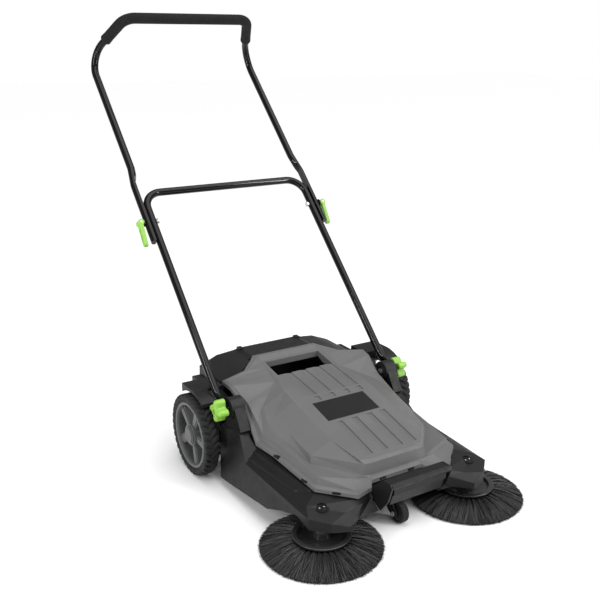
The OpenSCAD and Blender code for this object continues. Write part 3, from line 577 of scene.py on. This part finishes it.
def tyre(side):
    """Tyre with a centre rib and staggered shoulder lugs cut by slanted grooves."""
    low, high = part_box("tyre_" + side)
    inner, outer = (low.x, high.x) if side == "left" else (high.x, low.x)
    centre = Vector((0, middle(low.y, high.y), high.z / 2))
    radius = high.z / 2 / MM
    lugs, per_lug = 36, 10
    around = lugs * per_lug
    groove_deep, rib_deep = 3.4, 1.4
    wall_drop, wall_share = 7.5, 0.45
    half = [  # part of the width, drop below the tread in millimetres
        (0.10, 19.0), (0.04, 14.5), (0.0, 10.5), (0.0, wall_drop), (0.01, 4.0), (0.04, 1.6), (0.09, 0.5),
        (0.16, 0.1), (0.26, 0.0), (0.36, 0.0), (0.42, 0.0), (0.455, 0.1),
    ]
    across = half + [(0.5, 0.1)] + [(1 - t, drop) for t, drop in reversed(half)]
    verts, faces = [], []
    for k in range(around):
        for t, drop in across:
            off_centre = abs(t - 0.5)
            side_step = 0.0 if t < 0.5 else 0.5
            phase = (k / per_lug + side_step + off_centre * 1.1) % 1.0
            groove = smooth(1 - abs(phase - 0.5) / 0.2 + 0.25) if 0.3 < phase < 0.7 else 0.0
            if off_centre < 0.05:
                deep = rib_deep if (k // (per_lug // 2)) % 2 else 0.0
            elif drop == wall_drop:
                deep = groove_deep * groove * wall_share
            elif off_centre < 0.495:
                deep = groove_deep * groove
            else:
                deep = 0.0
            r = (radius - drop - deep) * MM
            a = k * math.tau / around
            x = inner + (outer - inner) * t
            verts.append(centre + Vector((x, r * math.cos(a), r * math.sin(a))))
    n = len(across)
    for k in range(around):
        here, ahead = k * n, (k + 1) % around * n
        for i in range(n):
            j = (i + 1) % n
            face = (here + i, here + j, ahead + j, ahead + i)
            faces.append(face if side == "left" else face[::-1])
    piece("tread_" + side, verts, faces, "tyre", "wheel_" + side, ("tyre_" + side,), 32)


for side in SIDES:
    tyre(side)


# ---------------------------------------------------------------- side brushes

TUFTS = 34
PER_TUFT = 64
LAYERS = 3
TUFT_PITCH = math.tau / TUFTS
# Top layer of a side brush, in millimetres, and how far each layer below is moved
ROOT_R, ROOT_Z, TIP_Z = 54, 25.5, 6.0
LAYER_IN, LAYER_ROOT_DOWN, LAYER_TIP_DOWN, LAYER_TIP_IN = 1.6, 1.9, 2.1, 1.0


def brush_filament(centre, reach, layer, tuft_angle, tuft_lift, rng):
    """Path of one filament, from the disc out and down to the floor."""
    spread = rng.gauss(0, 1)
    start_angle = tuft_angle + max(-1.6, min(1.6, spread)) * 0.020
    end_angle = tuft_angle + (rng.random() - 0.5) * TUFT_PITCH * 1.35 + spread * 0.01
    r0 = (ROOT_R - layer * LAYER_IN + rng.uniform(-1.2, 1.2)) * MM
    z0 = (ROOT_Z - layer * LAYER_ROOT_DOWN) * MM + rng.uniform(-0.8, 0.8) * MM
    r1 = reach - abs(rng.gauss(0, 2.2)) * MM - rng.uniform(0, 1.6) * MM - layer * LAYER_TIP_IN * MM
    if rng.random() < 0.02:
        r1 = reach + rng.uniform(0, 2.5) * MM
    z1 = (TIP_Z - layer * LAYER_TIP_DOWN) * MM + rng.uniform(-1.2, 1.4) * MM
    z1 = max(z1, 0.6 * MM)
    bow = (5.0 + rng.uniform(-1, 1.5)) * MM
    path = []
    for k in range(6):
        u = k / 5
        r = r0 + (r1 - r0) * u
        a = start_angle + (end_angle - start_angle) * u ** 1.2
        z = z0 + (z1 - z0) * u ** 1.35 + bow * math.sin(math.pi * u) * 0.55 + tuft_lift
        path.append(centre + Vector((r * math.cos(a), r * math.sin(a), z)))
    return path


def side_brush(side, seed):
    """Bristles of a side brush: layers of tufts, each a bundle of filaments that fans out."""
    low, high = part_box("brush_bristles_" + side)
    centre = Vector((middle(low.x, high.x), middle(low.y, high.y), 0))
    reach = (high.x - low.x) / 2
    rng = random.Random(seed)
    paths = []
    for layer in range(LAYERS):
        for t in range(TUFTS):
            tuft_angle = (t + layer / LAYERS) * TUFT_PITCH
            tuft_lift = rng.uniform(-0.6, 0.6) * MM
            for _ in range(PER_TUFT):
                paths.append(brush_filament(centre, reach, layer, tuft_angle, tuft_lift, rng))
    verts, faces, tones_and_root_shade = filament_mesh(paths, 0.42 * MM, rng)
    piece("side_bristles_" + side, verts, faces, "bristle", "side_brush_" + side,
          ("brush_bristles_" + side,), 80, tones_and_root_shade)


side_brush("left", 3)
side_brush("right", 8)


# ---------------------------------------------------------------- main roller

STRIPS = 8
STRIP_TUFTS = 48
PER_STRIP_TUFT = 12


def roller_filament(centre, core, reach, x, angle, rng):
    """Path of one filament, straight out from the roller's core."""
    a = angle + rng.uniform(-0.05, 0.05)
    dx = rng.uniform(-2, 2) * MM
    lean = rng.uniform(-1.8, 1.8) * MM
    tip = reach - rng.uniform(0, 1.5) * MM
    end = a + rng.uniform(-0.03, 0.03)
    root = core * 0.97      # a little way into the core
    path = []
    for k in range(3):
        u = k / 2
        r = root + (tip - root) * u
        b = a + (end - a) * u
        path.append(centre + Vector((x + dx + lean * u, r * math.cos(b), r * math.sin(b))))
    return path


def roller_tufts():
    """Bristles of the main roller, in straight strips along its core."""
    low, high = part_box("roller_core")
    centre = Vector((0, middle(low.y, high.y), middle(low.z, high.z)))
    core = (high.z - low.z) / 2
    low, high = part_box("roller_bristles")
    reach = (high.z - low.z) / 2
    rng = random.Random(21)
    paths = []
    for s in range(STRIPS):
        angle = s * math.tau / STRIPS + math.pi / 2
        for t in range(STRIP_TUFTS):
            x = low.x + (t + 0.5) * (high.x - low.x) / STRIP_TUFTS
            for _ in range(PER_STRIP_TUFT):
                paths.append(roller_filament(centre, core, reach, x, angle, rng))
    verts, faces, tones_and_root_shade = filament_mesh(paths, 0.5 * MM, rng)
    piece("roller_tufts", verts, faces, "bristle", "roller", ("roller_bristles",), 80, tones_and_root_shade)


roller_tufts()


# ---------------------------------------------------------------- small fittings

def lathe(centre, axis, profile, count=48):
    """Closed turned shape round an axis, through (radius, distance along the axis) points in mm."""
    axis = axis.normalized()
    side = axis.orthogonal().normalized()
    up = axis.cross(side)
    verts = []
    for r, d in profile:
        for k in range(count):
            a = k * math.tau / count
            outwards = side * math.cos(a) + up * math.sin(a)
            verts.append(centre + axis * (d * MM) + outwards * (r * MM))
    return verts, skin_rings(len(profile), count)


# Radius and height, in millimetres
CAP_PROFILE = [(10.6, -0.5), (10.9, 0.0), (10.9, 0.6), (10.5, 1.0), (9.6, 1.0), (9.3, 0.5), (0.5, 0.5)]
SCREW_PROFILE = [(1.9, 0), (1.9, 0.5), (1.5, 1.0), (0.8, 1.2), (0.7, 0.6), (0.2, 0.6)]
SCREW_OFFSET = 5.5 * MM
SCREW_SEAT = 0.4 * MM      # height above the top of the spindle


def deck_fittings(side):
    """Dark bearing cap over a brush spindle, held by two small screws."""
    low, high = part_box("brush_spindle_" + side)
    top = Vector((middle(low.x, high.x), middle(low.y, high.y), high.z))
    up = Vector((0, 0, 1))
    verts, faces = lathe(top, up, CAP_PROFILE)
    piece("spindle_cap_" + side, verts, faces, "housing", "housing")
    for letter, end in (("a", -1), ("b", 1)):
        at = top + Vector((end * SCREW_OFFSET, 0, SCREW_SEAT))
        verts, faces = lathe(at, up, SCREW_PROFILE, 20)
        piece(f"cap_screw_{side}_{letter}", verts, faces, "steel", "housing")


for side in SIDES:
    deck_fittings(side)


# ---------------------------------------------------------------- stage

WHITE = (1, 1, 1, 1)
ROOM_STRENGTH = 0.36
CAMERA_AT = (-1.0270, -1.7676, 1.0020)
CAMERA_AZIMUTH = math.radians(-31.516)
CAMERA_ELEVATION = math.radians(17.084)
LENS_MM = 50.2
STRIP_HEIGHT = 2.4
STRIP_TARGET = Vector((0, 0.1, 0.6))


def floor_plane():
    """Wide pale floor, which is part of the stage and not of the object."""
    bpy.ops.mesh.primitive_plane_add(size=40, location=(0, 0, 0))
    floor = bpy.context.object
    floor.name = "floor"
    mat, tree, bsdf = material("floor_pale")
    bsdf.inputs["Base Color"].default_value = (0.86, 0.86, 0.86, 1)
    bsdf.inputs["Roughness"].default_value = 0.7
    floor.data.materials.append(mat)


def room_light():
    """White backdrop for the camera, and a dimmer even light for the object."""
    bpy.context.scene.view_settings.view_transform = "Standard"
    world = bpy.context.scene.world or bpy.data.worlds.new("world")
    bpy.context.scene.world = world
    world.use_nodes = True
    tree = world.node_tree
    room = tree.nodes["Background"]
    room.inputs["Color"].default_value = WHITE
    room.inputs["Strength"].default_value = ROOM_STRENGTH
    paper = node(tree, "ShaderNodeBackground", Strength=1.0)
    paper.inputs["Color"].default_value = WHITE
    seen = node(tree, "ShaderNodeLightPath")
    either = node(tree, "ShaderNodeMixShader")
    tree.links.new(seen.outputs["Is Camera Ray"], either.inputs[0])
    tree.links.new(room.outputs["Background"], either.inputs[1])
    tree.links.new(paper.outputs["Background"], either.inputs[2])
    tree.links.new(either.outputs["Shader"], tree.nodes["World Output"].inputs["Surface"])


def aimed(name, data, direction):
    """Object for a light, pointing along a direction."""
    lamp = bpy.data.objects.new(name, data)
    bpy.context.scene.collection.objects.link(lamp)
    lamp.rotation_euler = direction.to_track_quat("-Z", "Y").to_euler()
    return lamp


def overhead_light():
    """Wide soft light from above, even over the whole floor."""
    light = bpy.data.lights.new("overhead", "SUN")
    light.energy = 2.9
    light.angle = math.radians(70)
    aimed("overhead", light, Vector((-0.25, 0.3, -1)))


def strip_light(name, at, width, power):
    """Tall narrow light that draws a bright line along the tubes."""
    light = bpy.data.lights.new(name, "AREA")
    light.shape = "RECTANGLE"
    light.size = width
    light.size_y = STRIP_HEIGHT
    light.energy = power
    lamp = aimed(name, light, STRIP_TARGET - Vector(at))
    lamp.location = at


def camera():
    """Camera where the photograph was taken from, as fitted to it."""
    lens = bpy.data.cameras.new("camera")
    lens.lens = LENS_MM
    lens.sensor_width = 36
    eye = bpy.data.objects.new("camera", lens)
    bpy.context.scene.collection.objects.link(eye)
    eye.location = CAMERA_AT
    a, e = CAMERA_AZIMUTH, CAMERA_ELEVATION
    back = Vector((math.sin(a) * math.cos(e), -math.cos(a) * math.cos(e), math.sin(e)))
    eye.rotation_euler = (-back).to_track_quat("-Z", "Y").to_euler()
    bpy.context.scene.camera = eye


floor_plane()
room_light()
overhead_light()
strip_light("left", (-2.9, -0.6, 1.5), width=0.16, power=60)
strip_light("right", (1.9, -2.6, 1.5), width=0.14, power=48)
camera()
